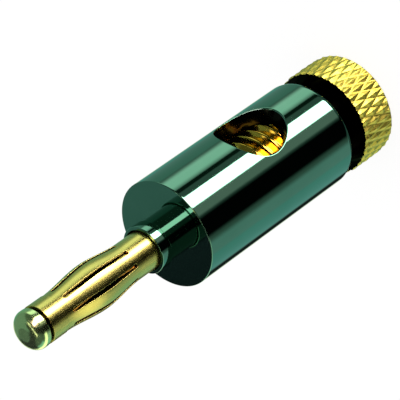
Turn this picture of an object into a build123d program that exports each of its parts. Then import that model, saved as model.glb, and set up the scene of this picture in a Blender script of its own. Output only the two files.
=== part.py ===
from build123d import *
from math import cos, degrees, pi, radians, sin, tan
import os

# Banana plug with a side cable entry, standing on the flat rear face of its clamp screw.
# The origin is the centre of that face, +Z runs along the plug's axis towards the tip,
# and the mouth of the cable entry looks towards -Y. Every length is in millimetres.

# Sleeve: one turned piece with a threaded bore behind and a stepped nose in front
sleeve_diameter = 11.0
sleeve_length = 21.8
sleeve_wall = 1.44  # beside the bore, at the root of its thread
sleeve_rear_round = 1.05
sleeve_front_round = 0.12
bore_mouth_chamfer = 0.2
bore_web = 3.35  # solid metal from the bore's floor to the pin's tail
nose_neck_step = 0.17  # how far the neck lies below the collar
nose_neck_length = 1.85
nose_collar_length = 1.4
nose_edge = 0.1
recess_depth = 0.5
recess_wall = 0.3
recess_play = 0.16  # round the basket's rear end

# Cable entry: a drilled hole that leans towards the rear
entry_inset = 0.71  # how much narrower the entry is than the bore, each side
entry_lean = 20.0
entry_setback = 3.4  # from the bore's floor back to where the entry's axis crosses the plug's
entry_edge = 0.12

# Clamp screw: knurled head, relief groove and shank, turned in one piece
head_length = 4.5
head_chamfer = 0.42
head_gap = 1.67
shank_end_chamfer = 0.6
relief_depth = 0.8  # below the thread's crests, with a run-out at 45 degrees
relief_length = 1.1
thread_clearance = 0.06

# Diamond knurl of the head
knurl_teeth = 44
knurl_depth = 0.26
knurl_angle = 30.0

# Pressure pad: turns freely on the end of the shank
pad_side_gap = 0.91
pad_front_gap = 2.72  # free bore ahead of the pad, for the cable
pad_thickness = 1.2
pad_edge = 0.25
stub_diameter = 2.2
stub_length = 2.0
pad_clearance = 0.05

# Contact pin: a core rod with a domed tip, which carries the spring basket
core_clearance = 0.06  # between the rod and the basket
core_tail_step = 0.15  # how far the tail lies below the rod
core_tail_length = 6.5
tip_length = 1.55
tip_bevel = 0.2
tip_land = 0.3
tip_flat_diameter = 1.3
fit_clearance = 0.01

# Spring basket: a thin sleeve, slotted along the middle and bulged outwards
basket_band_diameter = 3.92
basket_bulge_rise = 0.41  # of the crown over the plain bands
basket_wall = 0.25
basket_length = 14.6
basket_rear_band = 2.7
basket_front_band = 1.9
basket_bulge_share = 0.47  # where the crown lies along the bulge
basket_end_play = 0.06
tip_gap = 0.3
slot_count = 8
slot_width = 0.42
slot_rear_land = 3.25
slot_front_land = 2.7
slot_phase = 26.5  # degrees from +X to the first slot

# Stations along the axis, from the rear face of the head to the tip
head_front = head_length
sleeve_rear = head_front + head_gap
sleeve_front = sleeve_rear + sleeve_length
neck_front = sleeve_front + nose_neck_length
nose_front = neck_front + nose_collar_length
recess_floor = nose_front - recess_depth
tail_floor = recess_floor - core_tail_length
bore_floor = tail_floor - bore_web
basket_rear = recess_floor + basket_end_play
basket_front = basket_rear + basket_length
tip_rear = basket_front + tip_gap
tip_front = tip_rear + tip_length
pad_front = bore_floor - pad_front_gap
pad_rear = pad_front - pad_thickness
shank_end = pad_rear - pad_clearance
entry_centre = bore_floor - entry_setback

# Radii behind the nose, from the sleeve inwards: the head is flush with the sleeve
outer = sleeve_diameter / 2
crest = outer
bore_radius = outer - sleeve_wall
entry_radius = bore_radius - entry_inset
shank_radius = bore_radius - thread_clearance
relief_radius = shank_radius - relief_depth
pad_radius = bore_radius - pad_side_gap

# Radii ahead of the nose, from the basket outwards and inwards: the tip is flush with the bands
band = basket_band_diameter / 2
bulge = band + basket_bulge_rise
recess_radius = band + recess_play
collar = recess_radius + recess_wall
neck = collar - nose_neck_step
rod = band - basket_wall - core_clearance
tail_radius = rod - core_tail_step
tip = band


# Sleeve: the outline and the stepped bore in one half section, turned about the axis
with BuildPart() as sleeve:
    with BuildSketch(Plane.XZ):
        with BuildLine():
            mouth = bore_radius + bore_mouth_chamfer
            Polyline(
                (0, tail_floor),
                (tail_radius + fit_clearance, tail_floor),
                (tail_radius + fit_clearance, recess_floor),
                (recess_radius, recess_floor),
                (recess_radius, nose_front),
                (collar - nose_edge, nose_front),
                (collar, nose_front - nose_edge),
                (collar, neck_front + nose_edge),
                (collar - nose_edge, neck_front),
                (neck, neck_front),
                (neck, sleeve_front),
                (outer - sleeve_front_round, sleeve_front),
            )
            RadiusArc(
                (outer - sleeve_front_round, sleeve_front),
                (outer, sleeve_front - sleeve_front_round),
                sleeve_front_round,
            )
            Line((outer, sleeve_front - sleeve_front_round), (outer, sleeve_rear + sleeve_rear_round))
            RadiusArc(
                (outer, sleeve_rear + sleeve_rear_round),
                (outer - sleeve_rear_round, sleeve_rear),
                sleeve_rear_round,
            )
            Polyline(
                (outer - sleeve_rear_round, sleeve_rear),
                (mouth, sleeve_rear),
                (bore_radius, sleeve_rear + bore_mouth_chamfer),
                (bore_radius, bore_floor),
                (0, bore_floor),
                (0, tail_floor),
            )
        make_face()
    revolve(axis=Axis.Z)
    # cable entry, drilled from its mouth to the middle of the bore
    lean = radians(entry_lean)
    with BuildSketch(Plane((0, 0, entry_centre), x_dir=(1, 0, 0), z_dir=(0, -cos(lean), -sin(lean)))):
        Circle(entry_radius)
    extrude(amount=sleeve_diameter, mode=Mode.SUBTRACT)
    entry_rim = sleeve.edges(Select.LAST).filter_by(
        lambda edge: Vector(edge.center().X, edge.center().Y, 0).length > (bore_radius + outer) / 2
    )
    chamfer(entry_rim, entry_edge)
sleeve.part.label = "sleeve"


# Clamp screw: a diamond knurl on the head, then the relief groove and the shank
def twisted_star(turn):
    """Section with one point for each tooth, twisted by an angle along the head."""
    root = crest - knurl_depth
    step = pi / knurl_teeth
    corners = []
    for corner in range(2 * knurl_teeth):
        radius = crest if corner % 2 == 0 else root
        corners.append((radius * cos(corner * step), radius * sin(corner * step)))
    with BuildSketch(Plane.XY) as star:
        with BuildLine():
            Polyline(*corners, close=True)
        make_face()
    return Solid.extrude_linear_with_rotation(star.sketch.face(), (0, 0, 0), (0, 0, head_length), turn)


# Teeth twisted to the left and teeth twisted to the right leave diamonds where they meet
knurl_turn = degrees(head_length * tan(radians(knurl_angle)) / crest)
diamonds = twisted_star(knurl_turn) & twisted_star(-knurl_turn)

with BuildPart() as clamp_screw:
    with BuildSketch(Plane.XZ):
        with BuildLine():
            Polyline(
                (0, 0),
                (crest - head_chamfer, 0),
                (crest, head_chamfer),
                (crest, head_front),
                (0, head_front),
                close=True,
            )
        make_face()
    revolve(axis=Axis.Z)
    add(diamonds, mode=Mode.INTERSECT)
    with BuildSketch(Plane.XZ):
        with BuildLine():
            thread_start = head_front + relief_length
            socket = stub_diameter / 2 + pad_clearance
            socket_floor = shank_end - stub_length - pad_clearance
            Polyline(
                (0, head_front),
                (relief_radius, head_front),
                (relief_radius, thread_start),
                (shank_radius, thread_start + relief_depth),
                (shank_radius, shank_end - shank_end_chamfer),
                (shank_radius - shank_end_chamfer, shank_end),
                (socket, shank_end),
                (socket, socket_floor),
                (0, socket_floor),
                close=True,
            )
        make_face()
    revolve(axis=Axis.Z)
clamp_screw.part.label = "clamp_screw"


# Pressure pad: a disc on a stub, which sits in the end of the shank
with BuildPart() as pressure_pad:
    with BuildSketch(Plane.XZ):
        with BuildLine():
            Polyline(
                (0, pad_rear - stub_length),
                (stub_diameter / 2, pad_rear - stub_length),
                (stub_diameter / 2, pad_rear),
                (pad_radius, pad_rear),
                (pad_radius, pad_front - pad_edge),
                (pad_radius - pad_edge, pad_front),
                (0, pad_front),
                close=True,
            )
        make_face()
    revolve(axis=Axis.Z)
pressure_pad.part.label = "pressure_pad"


# Core pin: tail in the nose, rod through the basket and domed tip in one turned piece
with BuildPart() as core_pin:
    with BuildSketch(Plane.XZ):
        with BuildLine():
            tip_flat = tip_flat_diameter / 2
            dome_rear = tip_rear + tip_bevel + tip_land
            Polyline(
                (0, tip_front),
                (0, tail_floor),
                (tail_radius, tail_floor),
                (tail_radius, recess_floor),
                (rod, recess_floor),
                (rod, tip_rear),
                (tip - tip_bevel, tip_rear),
                (tip, tip_rear + tip_bevel),
                (tip, dome_rear),
            )
            EllipticalCenterArc((tip_flat, dome_rear), tip - tip_flat, tip_front - dome_rear, 0, arc_size=90)
            Line((tip_flat, tip_front), (0, tip_front))
        make_face()
    revolve(axis=Axis.Z)
core_pin.part.label = "core_pin"


# Spring basket: two plain bands and a bulge between them, drawn once as the outside line
with BuildPart() as contact_basket:
    with BuildSketch(Plane.XZ):
        with BuildLine():
            bulge_start = basket_rear + basket_rear_band
            bulge_end = basket_front - basket_front_band
            crown = bulge_start + basket_bulge_share * (bulge_end - bulge_start)
            for offset_in in (0, basket_wall):
                Line((band - offset_in, basket_rear), (band - offset_in, bulge_start))
                Spline(
                    (band - offset_in, bulge_start),
                    (bulge - offset_in, crown),
                    (band - offset_in, bulge_end),
                    tangents=[(0, 1), (0, 1), (0, 1)],
                )
                Line((band - offset_in, bulge_end), (band - offset_in, basket_front))
            Line((band, basket_rear), (band - basket_wall, basket_rear))
            Line((band, basket_front), (band - basket_wall, basket_front))
        make_face()
    revolve(axis=Axis.Z)
    # slots with round ends, one beam left between each two
    slot_length = basket_length - slot_rear_land - slot_front_land
    slot_middle = basket_rear + slot_rear_land + slot_length / 2
    for slot in range(slot_count):
        turn = slot_phase + slot * 360 / slot_count
        with BuildSketch(Plane((0, 0, slot_middle), x_dir=(0, 0, 1), z_dir=Vector(1, 0, 0).rotate(Axis.Z, turn))):
            SlotOverall(slot_length, slot_width)
        extrude(amount=2 * bulge, mode=Mode.SUBTRACT)
contact_basket.part.label = "contact_basket"


os.makedirs("parts", exist_ok=True)
for piece in (sleeve, clamp_screw, pressure_pad, core_pin, contact_basket):
    export_step(piece.part, "parts/" + piece.part.label + ".step")
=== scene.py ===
"""Finished looks of a screw-clamp banana plug, laid round its CAD frame.

The plug stands on its knurled head with its axis on +Z, and the mouth of its cable entry looks
towards -Y. Polished plate mirrors the studio, and a mirror shows every facet, so each metal
surface is worked out on a fine grid that carries its own normals.
"""

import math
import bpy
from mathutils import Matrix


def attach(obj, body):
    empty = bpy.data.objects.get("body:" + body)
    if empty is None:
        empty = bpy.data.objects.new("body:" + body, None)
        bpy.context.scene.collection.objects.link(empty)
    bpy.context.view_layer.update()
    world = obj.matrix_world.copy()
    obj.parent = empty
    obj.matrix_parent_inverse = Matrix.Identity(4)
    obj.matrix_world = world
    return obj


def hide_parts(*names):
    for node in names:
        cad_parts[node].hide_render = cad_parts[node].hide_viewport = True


bl_info = {
    "name": "Banana Plug",
    "version": (1, 0, 0),
    "blender": (4, 5, 0),
    "location": "3D View > Sidebar > Banana Plug",
    "description": "Builds the plated surfaces of a screw-clamp banana plug and its studio",
    "category": "Add Mesh",
}

import bpy
import numpy as np
from bpy.props import FloatProperty, FloatVectorProperty, IntProperty, PointerProperty
from mathutils import Matrix

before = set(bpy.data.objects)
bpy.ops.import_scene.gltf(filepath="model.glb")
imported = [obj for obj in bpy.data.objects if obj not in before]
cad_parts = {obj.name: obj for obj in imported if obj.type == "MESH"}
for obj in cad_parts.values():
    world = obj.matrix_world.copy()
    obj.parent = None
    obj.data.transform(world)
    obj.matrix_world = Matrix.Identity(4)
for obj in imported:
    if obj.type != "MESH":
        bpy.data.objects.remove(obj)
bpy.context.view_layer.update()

MM = 0.001
TURN = 2 * math.pi

# Grid steps: round a turned surface, on each side of the cable entry's middle, along the knurled
# head and across each of its teeth, along the thread, and along the basket's bulge
ROUND_STEPS = 256
ENTRY_STEPS = 44
KNURL_ROWS = 96
KNURL_STEPS = 16
THREAD_ROWS = 245
BULGE_ROWS = 96

# Points in one cell of this size are one. The offset keeps round sizes off the cells' borders.
WELD_CELL = 1e-7
WELD_OFFSET = 0.37


def linear(hex_colour):
    """The linear RGBA of an sRGB hex colour such as #c8b04a."""
    channels = [int(hex_colour[i : i + 2], 16) / 255 for i in (1, 3, 5)]
    return (*(c / 12.92 if c <= 0.04045 else ((c + 0.055) / 1.055) ** 2.4 for c in channels), 1.0)


# Sizes and colours that a user would change


def length(name, description, millimetres):
    """A length property with its default in millimetres."""
    return FloatProperty(
        name=name, description=description, default=millimetres * MM, min=0, unit="LENGTH"
    )


def degrees(name, description, default):
    """An angle property with its default in degrees."""
    return FloatProperty(
        name=name, description=description, default=math.radians(default), subtype="ANGLE"
    )


def finish(name, description, hex_colour):
    """A colour property with its default as sRGB hex."""
    return FloatVectorProperty(
        name=name,
        description=description,
        default=linear(hex_colour),
        size=4,
        subtype="COLOR",
        min=0,
        max=1,
    )


class SleeveSettings(bpy.types.PropertyGroup):
    """Sizes of the black chrome sleeve."""

    diameter: length("Diameter", "Across the turned sleeve", 11.0)
    rear: length("Rear", "Height of the sleeve's rear face", 6.17)
    front: length("Front", "Height of the sleeve's front face", 27.97)
    rear_round: length("Rear round", "Radius of the soft rear edge", 1.05)
    front_round: length("Front round", "Radius of the crisp front edge", 0.12)
    bore: length("Bore", "Diameter of the bore at the thread's root", 8.12)
    bore_floor: length("Bore floor", "Height where the bore ends", 20.87)
    bore_mouth: length("Bore mouth", "Width of the bevel at the bore's mouth", 0.2)
    neck: length("Neck", "Diameter of the nose's neck", 4.5)
    neck_front: length("Neck front", "Height where the neck meets the collar", 29.82)
    collar: length("Collar", "Diameter of the nose's collar", 4.84)
    nose_front: length("Nose front", "Height of the nose's front edge", 31.22)
    nose_edge: length("Nose edge", "Radius of the collar's edges", 0.1)
    recess: length("Recess", "Diameter of the recess that takes the basket", 4.24)
    recess_depth: length("Recess depth", "How deep the recess goes", 0.5)
    recess_edge: length("Recess edge", "Radius of the recess's edge", 0.04)
    recess_plate: length("Recess plate", "How far the plate reaches into the recess", 0.1)
    tail_play: length("Tail play", "Clearance round the pin's tail", 0.01)
    entry: length("Cable entry", "Diameter of the leaning cable entry", 6.7)
    entry_centre: length("Entry centre", "Height where the entry meets the plug's axis", 17.47)
    entry_lean: degrees("Entry lean", "How far the entry leans to the rear", 20)
    entry_edge: length("Entry edge", "Radius of the entry's polished edge", 0.12)
    entry_margin: length("Entry margin", "Room for the grid above and below the entry", 0.4)


class ScrewSettings(bpy.types.PropertyGroup):
    """Sizes of the knurled clamp screw."""

    diameter: length("Head diameter", "Across the knurl's crests", 11.0)
    head: length("Head length", "Height of the knurled head", 4.5)
    chamfer: length("Chamfer", "Width of the bevel round the rear face", 0.42)
    teeth: IntProperty(
        name="Teeth", description="Knurl grooves of each hand", default=37, min=8
    )
    depth: length("Knurl depth", "Depth of the knurl's grooves", 0.18)
    angle: degrees("Knurl angle", "Angle of the grooves to the axis", 19)
    shank: length("Shank", "Diameter over the thread's crests", 8.0)
    shank_end: length("Shank end", "Height where the shank ends", 16.9)
    shank_chamfer: length("Shank chamfer", "Bevel at the end of the shank", 0.6)
    relief: length("Relief", "Diameter of the groove behind the thread", 6.4)
    relief_length: length("Relief length", "Length of that groove", 1.1)
    pitch: length("Pitch", "Rise of the thread in one turn", 1.25)
    thread_depth: length("Thread depth", "From crest to root", 0.68)
    socket: length("Socket", "Diameter of the socket for the pad's stub", 2.3)
    socket_depth: length("Socket depth", "How deep the socket goes", 2.05)


class PinSettings(bpy.types.PropertyGroup):
    """Sizes of the contact pin and its spring basket."""

    tail_floor: length("Tail floor", "Height where the tail starts in the nose", 24.22)
    tail: length("Tail", "Diameter of the tail", 3.0)
    core: length("Core", "Diameter of the rod inside the basket", 3.3)
    seat: length("Seat", "Height of the recess floor, where the rod starts", 30.72)
    tip: length("Tip", "Diameter of the domed tip", 3.92)
    tip_rear: length("Tip rear", "Height where the tip starts", 45.68)
    tip_front: length("Tip front", "Height of the tip's flat end", 47.23)
    tip_bevel: length("Tip bevel", "Radius of the tip's rear edge", 0.2)
    tip_land: length("Tip land", "Length of the straight part of the tip", 0.3)
    tip_flat: length("Tip flat", "Diameter of the flat end", 1.3)
    basket_rear: length("Basket rear", "Height of the basket's rear edge", 30.78)
    basket_front: length("Basket front", "Height of the basket's front edge", 45.38)
    rear_band: length("Rear band", "Length of the plain band behind the bulge", 2.7)
    front_band: length("Front band", "Length of the plain band before the tip", 1.9)
    band: length("Band", "Diameter of the plain bands", 3.92)
    band_edge: length("Band edge", "Radius of the bands' outer edges", 0.05)
    bulge: length("Bulge", "Diameter at the crown of the bulge", 4.74)
    crown: FloatProperty(
        name="Crown",
        description="Where along the bulge the crown lies",
        default=0.47,
        min=0.1,
        max=0.9,
        subtype="FACTOR",
    )
    wall: length("Wall", "Thickness of the basket's spring strip", 0.25)
    slots: IntProperty(name="Slots", description="Slots round the basket", default=8, min=2)
    slot_width: length("Slot width", "Width of each slot", 0.42)
    slot_rear: length("Slot rear", "Land behind the slots", 3.25)
    slot_front: length("Slot front", "Land before the slots", 2.7)
    slot_phase: degrees("Slot phase", "Angle of the first slot", 26.5)
    slot_edge: length("Slot edge", "Radius of the slots' burnished edges", 0.035)
    lip: length("Lip", "How far the front band stands over the springs' ends", 0.05)


class FinishSettings(bpy.types.PropertyGroup):
    """Colours of the plated finishes and of the stage."""

    chrome: finish("Black chrome", "Reflected colour of the sleeve's plate", "#6f9a86")
    gold: finish("Gold plate", "Reflected colour of the head and the pin", "#e0d078")
    knurl: finish("Knurl gold", "Reflected colour of the satin gold on the knurl", "#dec85c")
    # painted light: a paler, greener copy of the gold plate for the light on the tip's dome
    tip: finish("Tip gold", "Reflected colour of the thinly plated tip", "#dcecac")
    thread: finish("Thread gold", "Reflected colour of the gold on the thread", "#dcb548")
    # partly painted shade: sawn bronze, made darker for the shade inside the slots
    bronze: finish("Cut bronze", "Reflected colour of the sawn slot walls", "#7c5a34")
    # painted shade: near black for surfaces in bores and gaps, where the shade falls
    shaded: finish("Shaded metal", "Reflected colour of oiled metal in gaps and bores", "#1e1d16")
    floor: finish("Floor", "Colour of the studio floor", "#f4f4f4")


# Surfaces. A patch is (points, normals, faces): rows of points with their normals, and faces of
# four corners.


def polar(radius, angle, z):
    """Points (r cos t, r sin t, z) from arrays that fit together."""
    across, along = radius * np.cos(angle), radius * np.sin(angle)
    return np.stack(np.broadcast_arrays(across, along, z), axis=-1)


def unit(vectors):
    """The vectors made one long."""
    return vectors / np.linalg.norm(vectors, axis=-1, keepdims=True)


def grid(points, normals):
    """The patch over a grid: the face at row i, column j joins it to row i + 1, column j + 1."""
    rows, columns = points.shape[:2]
    corner = np.arange(rows * columns).reshape(rows, columns)
    corners = (corner[:-1, :-1], corner[:-1, 1:], corner[1:, 1:], corner[1:, :-1])
    faces = np.stack(corners, axis=-1)
    return points.reshape(-1, 3), normals.reshape(-1, 3), faces.reshape(-1, 4)


def turned(line, angles):
    """An outline (r, z) turned about the axis: (r cos t, r sin t, z), its normal with it."""
    r, z, normal_r, normal_z = (values[:, None] for values in line)
    return grid(polar(r, angles, z), polar(normal_r, angles, normal_z))


def run(start, end):
    """A straight outline, whose normal is its direction turned a quarter to the right."""
    reach = math.hypot(end[0] - start[0], end[1] - start[1])
    both = np.ones(2)
    return (
        np.array((start[0], end[0])),
        np.array((start[1], end[1])),
        both * (end[1] - start[1]) / reach,
        both * (start[0] - end[0]) / reach,
    )


def bend(centre, radii, first, last, steps=8):
    """An outline centre + (a cos t, b sin t) for t from first to last.

    Its normal is (b cos t, a sin t) made one long."""
    t = np.linspace(first, last, steps + 1)
    r, z = centre[0] + radii[0] * np.cos(t), centre[1] + radii[1] * np.sin(t)
    normal_r, normal_z = radii[1] * np.cos(t), radii[0] * np.sin(t)
    size = np.hypot(normal_r, normal_z)
    return r, z, normal_r / size, normal_z / size


def outline(*stations):
    """Runs between stations (r, z) or (r, z, radius), with an arc of that radius at the corner.

    The surface looks to the right of the line, and arcs are for corners that turn left."""
    lines = []
    start = stations[0][:2]
    for here, after in zip(stations[1:], stations[2:] + (None,)):
        corner = here[:2]
        if after is None or len(here) == 2:
            lines.append(run(start, corner))
            start = corner
            continue
        radius = here[2]
        way_in, way_out = np.subtract(corner, start), np.subtract(after[:2], corner)
        way_in, way_out = way_in / np.hypot(*way_in), way_out / np.hypot(*way_out)
        turn = math.acos(np.clip(way_in @ way_out, -1, 1))
        setback = radius * math.tan(turn / 2)
        arc_start = corner - setback * way_in
        # where one arc starts at the end of the last one, no run lies between them
        if math.dist(start, arc_start) > WELD_CELL / 100:
            lines.append(run(start, tuple(arc_start)))
        centre = arc_start + radius * np.array((-way_in[1], way_in[0]))
        first = math.atan2(-way_in[0], way_in[1])
        lines.append(bend(centre, (radius, radius), first, first + turn))
        start = tuple(corner + setback * way_out)
    return lines


def rolled(start, corner, end, first_normals, last_normals, steps):
    """An edge rolled over a corner, for w from 0 to 1.

    Its points are (1 - w)^2 start + 2 w (1 - w) corner + w^2 end."""
    w = np.linspace(0, 1, steps + 1)[:, None, None]
    points = (1 - w) ** 2 * start + 2 * w * (1 - w) * corner + w**2 * end
    return points, unit((1 - w) * first_normals + w * last_normals)


def straight(start, end, normals, steps):
    """A wall that runs straight between two rims: start + w (end - start), w from 0 to 1."""
    w = np.linspace(0, 1, steps + 1)[:, None, None]
    points = start + w * (end - start)
    return points, np.broadcast_to(normals, points.shape)


def relief(radius, angles, heights):
    """A height field on a cylinder: (r cos t, r sin t, z), r given at each (z, t) of the grid.

    The normal is the cross product of the two slopes of that grid."""
    t, z = np.meshgrid(angles, heights)
    points = polar(radius, t, z)
    wrapped = np.concatenate((points[:, -2:-1], points, points[:, 1:2]), axis=1)
    across = (wrapped[:, 2:] - wrapped[:, :-2]) / 2
    up = np.gradient(points, axis=0)
    return grid(points, unit(np.cross(across, up)))


def thinned(outer, inner, normal):
    """A flat ring from many outer points to a quarter as many inner ones.

    Five triangles fill each inner step."""
    many, few = len(outer), len(inner)
    j = np.arange(few)
    a, b = j, (j + 1) % few
    o = [few + (4 * j + k) % many for k in range(5)]
    fans = (
        (a, o[0], o[1], o[1]),
        (a, o[1], o[2], o[2]),
        (a, o[2], b, b),
        (b, o[2], o[3], o[3]),
        (b, o[3], o[4], o[4]),
    )
    faces = np.concatenate([np.stack(fan, axis=-1) for fan in fans])
    points = np.concatenate((inner, outer))
    return points, np.tile(normal, (len(points), 1)).astype(float), faces


def flat_ring(outer, inner, normal):
    """A flat ring or disc between two rims of as many points."""
    return grid(np.stack((outer, inner)), np.broadcast_to(normal, (2, *outer.shape)))


def skin(name, finishes, body, node):
    """One mesh from pairs of a material and its patches.

    Shared points are welded, poles become triangles, and every corner keeps its own normal."""
    shift, points, normals, faces, finish_index = 0, [], [], [], []
    for index, (_, patches) in enumerate(finishes):
        for patch_points, patch_normals, patch_faces in patches:
            points.append(patch_points)
            normals.append(patch_normals)
            faces.append(patch_faces + shift)
            finish_index.append(np.full(len(patch_faces), index, np.int32))
            shift += len(patch_points)
    points, normals, faces = (np.concatenate(rows) for rows in (points, normals, faces))
    finish_index = np.concatenate(finish_index)
    # each face is turned to its normals' side
    first_diagonal = points[faces[:, 2]] - points[faces[:, 0]]
    second_diagonal = points[faces[:, 3]] - points[faces[:, 1]]
    facing = np.cross(first_diagonal, second_diagonal)
    inward = np.einsum("ij,ij->i", facing, normals[faces].sum(axis=1)) < 0
    faces[inward] = faces[inward][:, ::-1]
    cells = np.floor(points / WELD_CELL + WELD_OFFSET).astype(np.int64)
    _, kept, weld = np.unique(cells, axis=0, return_index=True, return_inverse=True)
    corners = weld.reshape(-1)[faces]
    distinct = corners != np.roll(corners, -1, axis=1)
    whole = distinct.sum(axis=1) > 2
    corner_index = corners[whole][distinct[whole]]
    corner_normal = normals[faces][whole][distinct[whole]]
    starts = np.concatenate(((0,), np.cumsum(distinct[whole].sum(axis=1))[:-1]))

    mesh = bpy.data.meshes.new(name)
    mesh.vertices.add(len(kept))
    mesh.vertices.foreach_set("co", points[kept].astype(np.float32).ravel())
    mesh.loops.add(len(corner_index))
    mesh.loops.foreach_set("vertex_index", corner_index.astype(np.int32))
    mesh.polygons.add(len(starts))
    mesh.polygons.foreach_set("loop_start", starts.astype(np.int32))
    mesh.update(calc_edges=True)
    mesh.polygons.foreach_set("use_smooth", np.ones(len(starts), bool))
    mesh.polygons.foreach_set("material_index", finish_index[whole])
    mesh.normals_split_custom_set(corner_normal.astype(np.float32))
    for material, _ in finishes:
        mesh.materials.append(material)
    piece = bpy.data.objects.new(name, mesh)
    bpy.context.scene.collection.objects.link(piece)
    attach(piece, body)
    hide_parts(node)


# Nodes and finishes


def add(tree, kind, settings=None, links=None):
    """A node with its settings, and its inputs set to a value or linked to a socket.

    Inputs go by name, or by number where a node has several of one name."""
    node = tree.nodes.new(kind)
    for key, value in (settings or {}).items():
        setattr(node, key, value)
    for key, value in (links or {}).items():
        if isinstance(value, bpy.types.NodeSocket):
            tree.links.new(value, node.inputs[key])
        else:
            node.inputs[key].default_value = value
    return node


def plated(name, colour, deep, roughness, polish, peel):
    """Polished plate, made once for each name.

    Its tint drifts from colour to deep, wiping marks add up to polish to its roughness, and
    orange peel of strength peel breaks up the mirror."""
    material = bpy.data.materials.get(name)
    if material:
        return material
    material = bpy.data.materials.new(name)
    material.use_nodes = True
    tree = material.node_tree
    tree.nodes.clear()
    place = add(tree, "ShaderNodeTexCoord").outputs["Object"]
    # plate thickness changes over about 4 mm, which shifts its tint a little
    drift = add(
        tree, "ShaderNodeTexNoise", links={"Vector": place, "Scale": 1 / (4 * MM), "Detail": 2.0}
    )
    tint = add(
        tree,
        "ShaderNodeMix",
        {"data_type": "RGBA"},
        {0: drift.outputs[0], 6: colour, 7: linear(deep)},
    )
    # hairline wiping marks about 0.15 mm apart, drawn out along the axis
    along = add(tree, "ShaderNodeMapping", links={"Vector": place, "Scale": (1.0, 1.0, 0.12)})
    hairlines = add(
        tree,
        "ShaderNodeTexNoise",
        links={"Vector": along.outputs[0], "Scale": 6500.0, "Detail": 3.0},
    )
    gloss = add(
        tree,
        "ShaderNodeMapRange",
        links={
            "Value": hairlines.outputs[0],
            "From Min": 0.35,
            "From Max": 0.7,
            "To Min": roughness,
            "To Max": roughness + polish,
        },
    )
    # orange peel: dimples about 0.5 mm across and 0.02 mm deep
    dimples = add(
        tree,
        "ShaderNodeTexNoise",
        links={"Vector": place, "Scale": 1 / (0.5 * MM), "Detail": 1.0},
    )
    bump = add(
        tree,
        "ShaderNodeBump",
        links={"Strength": peel, "Distance": 0.02 * MM, "Height": dimples.outputs[0]},
    )
    metal = add(
        tree,
        "ShaderNodeBsdfPrincipled",
        links={
            "Base Color": tint.outputs[2],
            "Metallic": 1.0,
            "Roughness": gloss.outputs[0],
            "Normal": bump.outputs[0],
        },
    )
    add(tree, "ShaderNodeOutputMaterial", links={"Surface": metal.outputs[0]})
    return material


def black_chrome():
    """Black chrome over turned brass: a dark, green-tinged mirror with crisp reflections."""
    colour = bpy.context.scene.plug_finish.chrome
    return plated("black_chrome_polished", colour, "#62907c", 0.035, 0.04, 0.06)


def gold_plate():
    """Thin gold plate over turned brass: a bright yellow mirror, a little softer than chrome."""
    colour = bpy.context.scene.plug_finish.gold
    return plated("gold_plate_polished", colour, "#d6c468", 0.12, 0.08, 0.1)


def knurled_gold():
    """Gold plate over rolled knurling: the tool leaves the diamonds satin, so they glow."""
    colour = bpy.context.scene.plug_finish.knurl
    return plated("gold_plate_on_knurling", colour, "#cebc50", 0.4, 0.08, 0.1)


def tip_gold():
    """Paler gold on the tip's turned dome, as painted light: a pale, greenish yellow mirror."""
    colour = bpy.context.scene.plug_finish.tip
    return plated("tip_gold_with_painted_light", colour, "#c4dc90", 0.16, 0.08, 0.1)


def thread_gold():
    """Gold plate over a cut thread: deeper yellow, because light reaches it twice."""
    colour = bpy.context.scene.plug_finish.thread
    return plated("gold_plate_on_thread", colour, "#cda33c", 0.09, 0.08, 0.05)


def spring_gold():
    """Gold plate over spring bronze strip, drawn and tumbled: a silky yellow mirror."""
    colour = bpy.context.scene.plug_finish.gold
    return plated("gold_plate_on_spring_bronze", colour, "#d8c062", 0.22, 0.08, 0.1)


def cut_bronze_with_painted_shade():
    """Bare spring bronze on the sawn walls of the slots: a dull brown, darker as painted shade."""
    colour = bpy.context.scene.plug_finish.bronze
    return plated("sawn_bronze_with_painted_shade", colour, "#5c4024", 0.3, 0.1, 0.1)


def shaded_metal():
    """Near-black metal in bores and gaps, as painted shade, with a dull sheen."""
    colour = bpy.context.scene.plug_finish.shaded
    return plated("painted_shade_metal", colour, "#14130f", 0.1, 0.06, 0.03)


# Pieces


def entry_rim(t, surface, hole):
    """Where the leaning entry of radius hole meets an upright cylinder of radius surface.

    At the angle t round the entry, x = hole cos t, y = -sqrt(surface^2 - x^2), and z follows
    from the lean of the entry's axis."""
    sleeve = bpy.context.scene.plug_sleeve
    rise, lean = np.sin(t), sleeve.entry_lean
    x = hole * np.cos(t)
    reach = np.sqrt(surface**2 - x**2)
    depth = (reach - hole * rise * math.sin(lean)) / math.cos(lean)
    z = sleeve.entry_centre - depth * math.sin(lean) + hole * rise * math.cos(lean)
    return np.stack((x, -reach, z), axis=-1)


def entry_window(surface, hole):
    """The part of a cylinder round the entry's mouth: first and last angle, low and high z.

    It spans the same steps on every cylinder, so that the entry's wall meets the same points."""
    z = entry_rim(np.linspace(0, TURN, 721), surface, hole)[:, 2]
    middle, side = -TURN / 4, ENTRY_STEPS * TURN / ROUND_STEPS
    margin = bpy.context.scene.plug_sleeve.entry_margin
    return middle - side, middle + side, z.min() - margin, z.max() + margin


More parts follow.
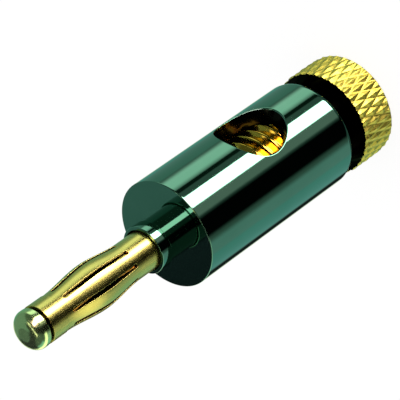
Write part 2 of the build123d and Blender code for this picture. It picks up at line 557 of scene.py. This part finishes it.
def pierced(surface, hole, window, side):
    """A cylinder between a window's low and high z, with the entry's mouth in that window.

    Its points run straight, in angle and height, from the rim to the window's edge. side is 1
    for an outer face and -1 for a bore. The angles round the rim come with it."""
    first, last, low, high = window
    columns, rows = 2 * ENTRY_STEPS, 24
    across = np.linspace(first, last, columns + 1)
    up = np.linspace(low, high, rows + 1)
    edge_angle = np.concatenate(
        (across[:-1], np.full(rows, last), across[:0:-1], np.full(rows, first))
    )
    edge_z = np.concatenate((np.full(columns, low), up[:-1], np.full(columns, high), up[:0:-1]))
    middle_angle, middle_z = (first + last) / 2, (low + high) / 2
    t = np.arctan2(
        (edge_z - middle_z) / (high - low), (edge_angle - middle_angle) / (last - first)
    )
    rim = entry_rim(t, surface, hole)
    rim_angle = np.arctan2(rim[:, 1], rim[:, 0])
    # twelve steps out from the rim, the first ones finer
    w = np.linspace(0, 1, 13)[:, None] ** 1.3
    angle = rim_angle + w * (edge_angle - rim_angle)
    z = rim[:, 2] + w * (edge_z - rim[:, 2])
    angle, z = (np.concatenate((a, a[:, :1]), axis=1) for a in (angle, z))
    mouth = grid(polar(surface, angle, z), polar(side, angle, 0.0))
    around = np.linspace(last, first + TURN, ROUND_STEPS - columns + 1)
    upright = (np.full(rows + 1, surface), up, np.full(rows + 1, side), np.zeros(rows + 1))
    return [mouth, turned(upright, around)], np.append(t, t[0])


class PLUG_OT_sleeve(bpy.types.Operator):
    """Build the black chrome sleeve with its stepped nose and leaning cable entry"""

    bl_idname = "plug.sleeve"
    bl_label = "Sleeve"

    def execute(self, context):
        s, pin = context.scene.plug_sleeve, context.scene.plug_pin
        radius, bore, hole = s.diameter / 2, s.bore / 2, s.entry / 2
        mouth = bore + s.bore_mouth
        neck, collar, recess = s.neck / 2, s.collar / 2, s.recess / 2
        recess_floor, plate_end = s.nose_front - s.recess_depth, s.nose_front - s.recess_plate
        tail = pin.tail / 2 + s.tail_play
        outer_window = entry_window(radius, hole + s.entry_edge)
        bore_window = entry_window(bore, hole)
        plate = outline(
            (mouth, s.rear),
            (radius, s.rear, s.rear_round),
            (radius, outer_window[2]),
        )
        plate += outline(
            (radius, outer_window[3]),
            (radius, s.front, s.front_round),
            (neck, s.front),
            (neck, s.neck_front),
            (collar, s.neck_front, s.nose_edge),
            (collar, s.nose_front, s.nose_edge),
            (recess, s.nose_front, s.recess_edge),
            (recess, plate_end),
        )
        hidden = outline((0, s.bore_floor), (bore, s.bore_floor), (bore, bore_window[3]))
        hidden += outline((bore, bore_window[2]), (bore, s.rear + s.bore_mouth), (mouth, s.rear))
        hidden += outline(
            (recess, plate_end),
            (recess, recess_floor),
            (tail, recess_floor),
            (tail, pin.tail_floor),
            (0, pin.tail_floor),
        )
        angles = np.linspace(-TURN / 4, TURN * 3 / 4, ROUND_STEPS + 1)
        patches = [turned(line, angles) for line in plate]
        inside = [turned(line, angles) for line in hidden]
        outer_patches, t = pierced(radius, hole + s.entry_edge, outer_window, 1)
        patches += outer_patches
        inside += pierced(bore, hole, bore_window, -1)[0]
        # the entry's wall: its edge rolls over from the outer face, then runs straight to the bore
        edge_start = entry_rim(t, radius, hole + s.entry_edge)
        corner = entry_rim(t, radius, hole)
        edge_end = entry_rim(t, radius - s.entry_edge, hole)
        lean = s.entry_lean
        outward = unit(edge_start * (1, 1, 0))
        inward = -np.stack(
            (np.cos(t), -np.sin(t) * math.sin(lean), np.sin(t) * math.cos(lean)), axis=-1
        )
        patches.append(grid(*rolled(edge_start, corner, edge_end, outward, inward, 6)))
        inside.append(grid(*straight(edge_end, entry_rim(t, bore, hole), inward, 4)))
        # painted shade: bore, recess, tail hole and the entry's straight wall are made near black
        finishes = ((black_chrome(), patches), (shaded_metal(), inside))
        skin("sleeve_chrome", finishes, "plug", "sleeve")
        return {"FINISHED"}


def knurled_flank(s):
    """The head's flank with two families of V grooves, one of each hand; the deeper one counts.

    r = crest - depth * max(v(teeth t + k z), v(teeth t - k z)), v a wave from 0 to 1, and the
    bevel round the rear face cuts it off."""
    crest = s.diameter / 2
    twist = math.tan(s.angle) / crest
    angles = np.linspace(0, TURN, s.teeth * KNURL_STEPS + 1)
    heights = np.linspace(0, s.head, KNURL_ROWS + 1)
    t, z = np.meshgrid(angles, heights)

    def groove(phase):
        """Depth of the grooves of one hand: a triangle wave, half way to its smooth step."""
        wave = np.abs((phase * s.teeth / TURN) % 1 - 0.5) * 2
        return (wave + wave**2 * (3 - 2 * wave)) / 2

    knurl = crest - s.depth * np.maximum(groove(t + twist * z), groove(t - twist * z))
    return relief(np.minimum(knurl, crest - s.chamfer + z), angles, heights)


def threaded_shank(s, start, angles):
    """The shank with the 60 degree V of metric threads, cut off by its bevels.

    r = crest - depth * share. The share is 0 on the crests, which are P / 8 wide, and 1 in the
    roots, P / 4 wide, and it follows from z / pitch - t / turn. How many of its rows belong to
    the run-out, in the shade between head and sleeve, comes with it."""
    crest, foot = s.shank / 2, s.relief / 2
    heights = np.linspace(start, s.shank_end, THREAD_ROWS + 1)
    t, z = np.meshgrid(angles, heights)
    place = np.abs((z / s.pitch - t / TURN) % 1 - 0.5) * 2
    thread = crest - s.thread_depth * np.clip((place - 1 / 8) / (5 / 8), 0, 1)
    bevels = np.minimum(foot + (z - start), crest - s.shank_chamfer + (s.shank_end - z))
    run_out_rows = np.count_nonzero(heights < start + crest - foot)
    return relief(np.minimum(thread, bevels), angles, heights), run_out_rows


class PLUG_OT_clamp_screw(bpy.types.Operator):
    """Build the clamp screw: a diamond-knurled head and a threaded shank"""

    bl_idname = "plug.clamp_screw"
    bl_label = "Clamp screw"

    def execute(self, context):
        s = context.scene.plug_screw
        many, few = s.teeth * KNURL_STEPS + 1, s.teeth * KNURL_STEPS // 4 + 1
        angles = np.linspace(0, TURN, few)
        foot, socket = s.relief / 2, s.socket / 2
        up, down = np.array((0.0, 0.0, 1.0)), np.array((0.0, 0.0, -1.0))
        flank = knurled_flank(s)
        rear_rim, front_rim = flank[0][:many], flank[0][-many:]
        rear = flat_ring(rear_rim * 0, rear_rim, down)
        foot_rim = polar(foot, angles, s.head)
        front = thinned(front_rim[:-1], foot_rim[:-1], up)
        start = s.head + s.relief_length
        (points, normals, faces), run_out_rows = threaded_shank(s, start, angles)
        run_out_faces = run_out_rows * (few - 1)
        run_out = points, normals, faces[:run_out_faces]
        turns = points, normals, faces[run_out_faces:]
        groove = grid(
            np.stack((foot_rim, points[:few])),
            np.broadcast_to(unit(foot_rim * (1, 1, 0)), (2, few, 3)),
        )
        end_face = flat_ring(points[-few:], polar(socket, angles, s.shank_end), up)
        # painted shade: the head's front, relief groove, run-out, shank end and socket go near
        # black
        hidden = [front, groove, run_out, end_face]
        socket_floor = s.shank_end - s.socket_depth
        socket_line = outline((socket, s.shank_end), (socket, socket_floor), (0, socket_floor))
        hidden += [turned(line, angles) for line in socket_line]
        finishes = (
            (gold_plate(), [rear]),
            (knurled_gold(), [flank]),
            (thread_gold(), [turns]),
            (shaded_metal(), hidden),
        )
        skin("clamp_screw_gold", finishes, "screw", "clamp_screw")
        return {"FINISHED"}


class PLUG_OT_core_pin(bpy.types.Operator):
    """Build the core pin with its domed tip"""

    bl_idname = "plug.core_pin"
    bl_label = "Core pin"

    def execute(self, context):
        p = context.scene.plug_pin
        tail, core, tip, flat = p.tail / 2, p.core / 2, p.tip / 2, p.tip_flat / 2
        dome_rear = p.tip_rear + p.tip_bevel + p.tip_land
        rod = outline(
            (0, p.tail_floor),
            (tail, p.tail_floor),
            (tail, p.seat),
            (core, p.seat),
            (core, p.basket_front),
        )
        gap = outline((core, p.basket_front), (core, p.tip_rear), (tip - p.tip_bevel, p.tip_rear))
        dome = outline(
            (tip - p.tip_bevel, p.tip_rear),
            (tip, p.tip_rear, p.tip_bevel),
            (tip, dome_rear),
        )
        dome.append(
            bend((flat, dome_rear), (tip - flat, p.tip_front - dome_rear), 0, TURN / 4, 24)
        )
        dome.append(run((flat, p.tip_front), (0, p.tip_front)))
        angles = np.linspace(0, TURN, ROUND_STEPS + 1)
        finishes = (
            (gold_plate(), [turned(line, angles) for line in rod]),
            # painted shade: the rod between basket and tip goes near black
            (shaded_metal(), [turned(line, angles) for line in gap]),
            # painted light: the dome takes a paler, greener copy of the gold
            (tip_gold(), [turned(line, angles) for line in dome]),
        )
        skin("core_pin_gold", finishes, "plug", "core_pin")
        return {"FINISHED"}


def bulge_ends(p):
    """Heights where the basket's bulge starts and ends."""
    return p.basket_rear + p.rear_band, p.basket_front - p.front_band


def swell(p, z):
    """Radius and slope of the basket's outer face at the heights z.

    r = foot + rise (3 u^2 - 2 u^3), with u from 0 at each end of the bulge to 1 at its crown."""
    low, high = bulge_ends(p)
    crown = low + p.crown * (high - low)
    reach = np.where(z < crown, crown - low, crown - high)
    u = np.clip(np.where(z < crown, z - low, z - high) / reach, 0, 1)
    foot = np.where(z < crown, p.band / 2, p.band / 2 - p.lip)
    rise = p.bulge / 2 - foot
    return foot + rise * (3 * u**2 - 2 * u**3), rise * 6 * u * (1 - u) / reach


def slotted_sector(p):
    """One slot and the halves of the springs beside it: (points, normals) of its surfaces.

    They are the outer face, the rolled edge, the sawn wall and the inner face. Each face runs
    straight, in angle and height, from the slot's outline to the edge of its window."""
    low, high = bulge_ends(p)
    pitch, half = TURN / p.slots, p.slot_width / 2
    columns, rows = ROUND_STEPS // p.slots, BULGE_ROWS
    across = np.linspace(-pitch / 2, pitch / 2, columns + 1)
    up = np.linspace(low, high, rows + 1)
    edge_angle = np.concatenate(
        (across[:-1], np.full(rows, pitch / 2), across[:0:-1], np.full(rows + 1, -pitch / 2))
    )
    edge_z = np.concatenate((np.full(columns, low), up[:-1], np.full(columns, high), up[::-1]))
    # the slot's outline: half circles at both ends and straight sides, in step with that edge
    end = np.linspace(math.pi, TURN, columns + 1)
    slot_rear, slot_front = p.basket_rear + p.slot_rear, p.basket_front - p.slot_front
    side = np.linspace(slot_rear + half, slot_front - half, rows + 1)
    end_x, end_z = np.cos(end[:-1]), np.sin(end[:-1])
    out_x = np.concatenate((end_x, np.ones(rows), -end_x, -np.ones(rows + 1)))
    out_z = np.concatenate((end_z, np.zeros(rows), -end_z, np.zeros(rows + 1)))
    spine = np.concatenate(
        (np.full(columns, side[0]), side[:-1], np.full(columns, side[-1]), side[::-1])
    )

    def slot_rim(inset, grow):
        """Angle and height of the slot's outline, grown a little, below the outer face."""
        z = spine + out_z * (half + grow)
        return np.arcsin(out_x * (half + grow) / (swell(p, z)[0] - inset)), z

    def face(inset, sign, grow):
        """One face of the sector, from the slot's outline to the window's edge."""
        rim_angle, rim_z = slot_rim(inset, grow)
        # eight steps, the first ones finer
        w = np.linspace(0, 1, 9)[:, None] ** 1.2
        angle = rim_angle + w * (edge_angle - rim_angle)
        z = rim_z + w * (edge_z - rim_z)
        radius, slope = swell(p, z)
        return polar(radius - inset, angle, z), sign * unit(polar(1.0, angle, -slope))

    def slot_line(inset):
        """The slot's outline at a depth below the outer face."""
        angle, z = slot_rim(inset, 0)
        return polar(swell(p, z)[0] - inset, angle, z)

    outer, outer_normals = face(0, 1, p.slot_edge)
    wall_normals = -np.stack((np.zeros_like(out_x), out_x, out_z), axis=-1)
    wall_start = slot_line(p.slot_edge)
    edge = rolled(outer[0], slot_line(0), wall_start, outer_normals[0], wall_normals, 4)
    wall = straight(wall_start, slot_line(p.wall), wall_normals, 2)
    return (outer, outer_normals), edge, wall, face(p.wall, -1, 0)


class PLUG_OT_contact_basket(bpy.types.Operator):
    """Build the slotted and bulged spring basket"""

    bl_idname = "plug.contact_basket"
    bl_label = "Contact basket"

    def execute(self, context):
        p = context.scene.plug_pin
        band, inner_band = p.band / 2, p.band / 2 - p.wall
        low, high = bulge_ends(p)
        edge = p.band_edge
        outer, rolled_edge, wall, inner = slotted_sector(p)
        patches, walls, hidden = [], [], []
        for slot in range(p.slots):
            turn = p.slot_phase + slot * TURN / p.slots
            across, along = math.cos(turn), math.sin(turn)
            spin = np.array(((across, along, 0), (-along, across, 0), (0, 0, 1)))
            for surface, group in (
                (outer, patches),
                (rolled_edge, patches),
                (wall, walls),
                (inner, hidden),
            ):
                group.append(grid(surface[0] @ spin, surface[1] @ spin))
        first = p.slot_phase - TURN / p.slots / 2
        angles = np.linspace(first, first + TURN, ROUND_STEPS // p.slots * p.slots + 1)
        bands = outline(
            (inner_band, low),
            (inner_band, p.basket_rear, edge),
            (band, p.basket_rear, edge),
            (band, low),
        )
        bands += outline(
            (band - p.lip, high),
            (band, high, edge / 2),
            (band, p.basket_front, edge),
            (inner_band, p.basket_front, edge),
            (inner_band, high),
            (inner_band - p.lip, high),
        )
        patches += [turned(line, angles) for line in bands]
        # painted shade: the springs' inner faces go near black, the sawn walls a darkened bronze
        finishes = ((spring_gold(), patches), (cut_bronze_with_painted_shade(), walls), (shaded_metal(), hidden))
        skin("contact_basket_gold", finishes, "basket", "contact_basket")
        return {"FINISHED"}


class PLUG_OT_pressure_pad(bpy.types.Operator):
    """Give the pressure pad in the bore its finish"""

    bl_idname = "plug.pressure_pad"
    bl_label = "Pressure pad"

    def execute(self, context):
        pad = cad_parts["pressure_pad"]
        pad.data.materials.clear()
        pad.data.materials.append(gold_plate())
        return {"FINISHED"}


# Stage: the level direction to the camera, the one to the camera's left, and up
TO_CAMERA = math.radians(-131)
NEAR = np.array((math.cos(TO_CAMERA), math.sin(TO_CAMERA), 0))
LEFT = np.array((math.cos(TO_CAMERA - TURN / 4), math.sin(TO_CAMERA - TURN / 4), 0))
UP = np.array((0, 0, 1))

# The camera as fitted to the photograph's outline: a lens on a sensor, both in millimetres, its
# three axes, and its place. It is rolled so that the pin points to the lower left.
LENS, SENSOR = 243.98, 36.0
CAMERA_RIGHT = 0.5773 * LEFT + 0.5053 * NEAR - 0.6414 * UP
CAMERA_UP = -0.8165 * LEFT + 0.3573 * NEAR - 0.4535 * UP
CAMERA_BACK = 0.7855 * NEAR + 0.6189 * UP
CAMERA_PLACE = (-0.791 * LEFT + 199.61 * NEAR + 179.63 * UP) * MM

# The studio that the plate mirrors: colour, level, bearings, rises, and how soft the sides are.
# Bearings run from the camera's towards LEFT and rises up from the horizon, all in degrees.
# Each panel covers the ones before it, and their lower and upper ends are all as soft.
BACKDROP = "#4c655f"
END_SOFTNESS = 4.0
PANELS = (
    # dark floor cards behind the plug, then a grey skirt, walls and ceiling all round the room
    ("#10181a", 1.0, (-200, -96), (-96, -52), 14.0),
    ("#10181a", 1.0, (150, 200), (-96, -52), 14.0),
    ("#66766e", 1.0, (-200, 200), (-52, 0), 4.0),
    ("#4a5c54", 1.0, (-200, 200), (0, 62), 8.0),
    ("#1c2a20", 1.0, (-200, 200), (62, 120), 8.0),
    # a strip lamp across the ceiling, which the tip shows as a streak
    ("#fff8e0", 2.5, (-97, -83), (64, 120), 5.0),
    ("#fff8e0", 2.5, (83, 97), (64, 120), 5.0),
    ("#fff8e0", 2.0, (-200, 200), (87, 120), 5.0),
    # on the right, from behind the plug to the front: green cards, a pale one and a dark gap
    ("#65a89a", 1.0, (-185, -142), (-52, -6), 10.0),
    ("#d8e8c8", 1.0, (-200, -170), (-52, -6), 8.0),
    ("#708e8a", 1.0, (-185, -100), (0, 60), 14.0),
    ("#76a094", 1.0, (-140, -106), (-52, -6), 10.0),
    ("#d8f0e0", 1.55, (-86, -72), (-52, -8), 16.0),
    ("#182a22", 1.0, (-59, -53), (-52, 30), 3.0),
    # the main softbox, pinker above, draws the bright stripe along the sleeve and the pin
    ("#fffaf4", 10.0, (-37, -13), (-52, 8), 2.5),
    ("#ffd0d8", 10.0, (-36, -15), (8, 60), 2.5),
    # a grey card beside the camera, and the black flag that draws the dark stripe
    ("#a4a49c", 1.05, (-9, 5), (-52, 4), 6.0),
    ("#040606", 1.0, (16, 48), (-86, 64), 11.0),
    # cards and a low fill lamp on the left, and what stands behind the plug there
    ("#9dbcb8", 1.0, (72, 92), (-52, 0), 14.0),
    ("#89c4c0", 1.0, (98, 132), (-52, 20), 9.0),
    ("#f0f8d8", 1.8, (58, 150), (-24, 0), 12.0),
    ("#1c2424", 1.0, (144, 156), (-52, -26), 8.0),
    ("#d8e8c8", 1.0, (168, 200), (-52, -6), 8.0),
    ("#262c30", 1.0, (144, 185), (0, 60), 8.0),
)

# The floor: a disc that reaches past every view, its radius in metres. To the camera this share
# of it glows at this strength, so that it looks white, and the rest takes light and shadow.
FLOOR_RADIUS = 3.0
FLOOR_CORNERS = 64
FLOOR_GLOW_SHARE = 0.85
FLOOR_GLOW_STRENGTH = 1.04
WHITE = (1.0, 1.0, 1.0, 1.0)


def make_camera():
    """The camera at the photograph's viewing angle."""
    data = bpy.data.cameras.new("camera")
    data.lens, data.sensor_width = LENS, SENSOR
    data.clip_start, data.clip_end = 0.01, 20.0
    camera = bpy.data.objects.new("camera", data)
    bpy.context.scene.collection.objects.link(camera)
    matrix = Matrix.Identity(4)
    columns = (unit(CAMERA_RIGHT), unit(CAMERA_UP), unit(CAMERA_BACK), CAMERA_PLACE)
    for column, vector in enumerate(columns):
        for row in range(3):
            matrix[row][column] = vector[row]
    camera.matrix_world = matrix
    bpy.context.scene.camera = camera


def make_studio():
    """The world: even white light, and in the mirrors a studio of softboxes and cards."""
    world = bpy.data.worlds.new("studio")
    bpy.context.scene.world = world
    world.use_nodes = True
    tree = world.node_tree
    tree.nodes.clear()
    look = add(tree, "ShaderNodeTexCoord").outputs["Generated"]
    toward, beside = (
        add(
            tree,
            "ShaderNodeVectorMath",
            {"operation": "DOT_PRODUCT"},
            {0: look, 1: tuple(axis)},
        ).outputs["Value"]
        for axis in (NEAR, LEFT)
    )
    height = add(tree, "ShaderNodeSeparateXYZ", links={0: look}).outputs["Z"]
    bearing = add(tree, "ShaderNodeMath", {"operation": "ARCTAN2"}, {0: beside, 1: toward})
    rise = add(tree, "ShaderNodeMath", {"operation": "ARCSINE"}, {0: height})
    bearing, rise = (
        add(tree, "ShaderNodeMath", {"operation": "DEGREES"}, {0: node.outputs[0]}).outputs[0]
        for node in (bearing, rise)
    )

    def window(value, span, soft):
        """1 within a span of degrees, falling to 0 over soft more degrees at both ends."""
        middle, half = (span[0] + span[1]) / 2, (span[1] - span[0]) / 2
        offset = add(tree, "ShaderNodeMath", {"operation": "SUBTRACT"}, {0: value, 1: middle})
        away = add(tree, "ShaderNodeMath", {"operation": "ABSOLUTE"}, {0: offset.outputs[0]})
        return add(
            tree,
            "ShaderNodeMapRange",
            {"interpolation_type": "SMOOTHSTEP"},
            {
                "Value": away.outputs[0],
                "From Min": half,
                "From Max": half + soft,
                "To Min": 1.0,
                "To Max": 0.0,
            },
        ).outputs[0]

    sky = linear(BACKDROP)
    for colour, level, bearings, rises, soft in PANELS:
        sides, ends = window(bearing, bearings, soft), window(rise, rises, END_SOFTNESS)
        mask = add(tree, "ShaderNodeMath", {"operation": "MULTIPLY"}, {0: sides, 1: ends})
        shade = tuple(c * level for c in linear(colour)[:3]) + (1.0,)
        sky = add(
            tree,
            "ShaderNodeMix",
            {"data_type": "RGBA", "clamp_result": False},
            {0: mask.outputs[0], 6: sky, 7: shade},
        ).outputs[2]
    plain = add(tree, "ShaderNodeBackground", links={"Color": WHITE, "Strength": 1.0})
    mirrored = add(tree, "ShaderNodeBackground", links={"Color": sky, "Strength": 1.0})
    glossy = add(tree, "ShaderNodeLightPath").outputs["Is Glossy Ray"]
    either = add(
        tree,
        "ShaderNodeMixShader",
        links={0: glossy, 1: plain.outputs[0], 2: mirrored.outputs[0]},
    )
    add(tree, "ShaderNodeOutputWorld", links={"Surface": either.outputs[0]})


def make_floor(colour):
    """Matt studio paper: the camera sees it almost white, with the plug's soft shadow on it."""
    t = np.linspace(0, TURN, FLOOR_CORNERS + 1)[:-1]
    mesh = bpy.data.meshes.new("floor")
    mesh.from_pydata(polar(FLOOR_RADIUS, t, 0.0), [], [tuple(range(FLOOR_CORNERS))])
    material = bpy.data.materials.new("studio_paper")
    material.use_nodes = True
    tree = material.node_tree
    tree.nodes.clear()
    paper = add(tree, "ShaderNodeBsdfDiffuse", links={"Color": colour})
    glow = add(
        tree, "ShaderNodeEmission", links={"Color": WHITE, "Strength": FLOOR_GLOW_STRENGTH}
    )
    seen = add(tree, "ShaderNodeLightPath").outputs["Is Camera Ray"]
    share = add(
        tree, "ShaderNodeMath", {"operation": "MULTIPLY"}, {0: seen, 1: FLOOR_GLOW_SHARE}
    )
    either = add(
        tree,
        "ShaderNodeMixShader",
        links={0: share.outputs[0], 1: paper.outputs[0], 2: glow.outputs[0]},
    )
    add(tree, "ShaderNodeOutputMaterial", links={"Surface": either.outputs[0]})
    mesh.materials.append(material)
    floor = bpy.data.objects.new("floor", mesh)
    bpy.context.scene.collection.objects.link(floor)
    # the mirrors see the studio below the horizon, as they would with the plug on a clear sheet
    floor.visible_glossy = False


class PLUG_OT_stage(bpy.types.Operator):
    """Set up the camera, the studio and the floor"""

    bl_idname = "plug.stage"
    bl_label = "Stage"

    def execute(self, context):
        context.scene.view_settings.view_transform = "Standard"
        make_camera()
        make_studio()
        make_floor(context.scene.plug_finish.floor)
        return {"FINISHED"}


class PLUG_PT_sidebar(bpy.types.Panel):
    """The plug's pieces and stage in the sidebar"""

    bl_label = "Banana Plug"
    bl_space_type = "VIEW_3D"
    bl_region_type = "UI"
    bl_category = "Banana Plug"

    def draw(self, context):
        for operator in OPERATORS:
            self.layout.operator(operator.bl_idname)


OPERATORS = (
    PLUG_OT_sleeve,
    PLUG_OT_clamp_screw,
    PLUG_OT_core_pin,
    PLUG_OT_contact_basket,
    PLUG_OT_pressure_pad,
    PLUG_OT_stage,
)
SETTINGS = {
    "plug_sleeve": SleeveSettings,
    "plug_screw": ScrewSettings,
    "plug_pin": PinSettings,
    "plug_finish": FinishSettings,
}


def register():
    for name, settings in SETTINGS.items():
        bpy.utils.register_class(settings)
        setattr(bpy.types.Scene, name, PointerProperty(type=settings))
    for operator in OPERATORS:
        bpy.utils.register_class(operator)
    bpy.utils.register_class(PLUG_PT_sidebar)


def unregister():
    bpy.utils.unregister_class(PLUG_PT_sidebar)
    for operator in reversed(OPERATORS):
        bpy.utils.unregister_class(operator)
    for name, settings in SETTINGS.items():
        delattr(bpy.types.Scene, name)
        bpy.utils.unregister_class(settings)


def main():
    register()
    bpy.ops.plug.sleeve()
    bpy.ops.plug.clamp_screw()
    bpy.ops.plug.core_pin()
    bpy.ops.plug.contact_basket()
    bpy.ops.plug.pressure_pad()
    bpy.ops.plug.stage()


if __name__ == "__main__":
    main()
